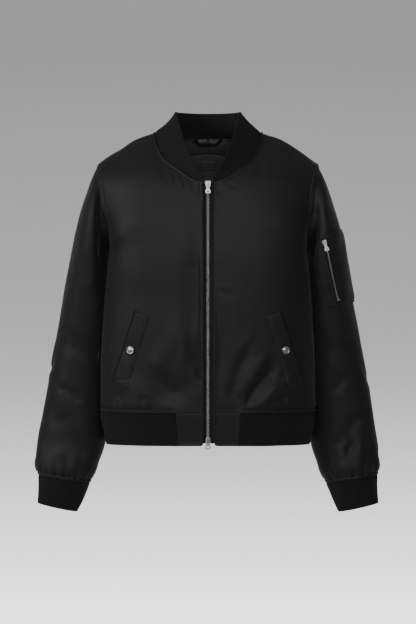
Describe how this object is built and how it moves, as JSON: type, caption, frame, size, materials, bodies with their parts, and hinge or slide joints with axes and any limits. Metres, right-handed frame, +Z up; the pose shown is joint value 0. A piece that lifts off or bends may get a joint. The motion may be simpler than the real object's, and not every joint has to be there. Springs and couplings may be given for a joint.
{
  "type": "bomber jacket",
  "caption": "Zipped satin bomber jacket with ribbed stand collar, cuffs and hem, slanted snap pockets and a zipped sleeve pocket, filled out as if worn.",
  "frame": {"origin": "middle of the neck at shoulder height, where the wearer's neck and shoulders hold the jacket up", "axes": "+Z up along the body, -Y out of the front, +X towards the wearer's left arm"},
  "size_m": [0.7086, 0.2259, 0.8228],
  "materials": {
    "satin": "black satin weave with a soft sheen",
    "rib_knit": "matt black ribbed knit",
    "lining": "black lining cloth with a slight sheen",
    "zip_tape": "matt black woven tape",
    "steel": "polished silver-coloured metal"
  },
  "bodies": {
    "jacket": {"front_left": "satin", "front_right": "satin", "back": "satin", "sleeve_left": "satin", "sleeve_right": "satin", "pocket_welt_left": "satin", "pocket_welt_right": "satin", "sleeve_pocket_front": "satin", "sleeve_pocket_back": "satin", "hem_rib": "rib_knit", "collar_rib": "rib_knit", "cuff_left": "rib_knit", "cuff_right": "rib_knit", "back_facing_left": "lining", "back_facing_right": "lining", "back_lining": "lining", "label": "lining", "locker_loop": "lining", "zip_tape_left": "zip_tape", "zip_tape_right": "zip_tape", "sleeve_zip_tape": "zip_tape", "zip_chain": "steel", "zip_slider_top": "steel", "zip_slider_bottom": "steel", "sleeve_zip_chain": "steel", "sleeve_zip_stop": "steel", "sleeve_zip_slider": "steel", "snap_left": "steel", "snap_right": "steel"},
    "upper_pull": {"zip_pull_top": "steel"},
    "lower_pull": {"zip_pull_bottom": "steel"},
    "arm_pull": {"sleeve_zip_pull": "steel"}
  },
  "joints": [
    {"name": "upper_pull_swing", "type": "hinge", "parent": "jacket", "child": "upper_pull", "pos_m": [0, -0.09798, -0.09589], "axis": [-1, 0, 0], "range_deg": [0, 90]},
    {"name": "lower_pull_swing", "type": "hinge", "parent": "jacket", "child": "lower_pull", "pos_m": [0, -0.10527, -0.60905], "axis": [-1, 0, 0], "range_deg": [-4, 90]},
    {"name": "arm_pull_swing", "type": "hinge", "parent": "jacket", "child": "arm_pull", "pos_m": [0.23367, -0.08255, -0.21383], "axis": [-0.9401, 0.1214, -0.3186], "range_deg": [-4, 90]}
  ]
}
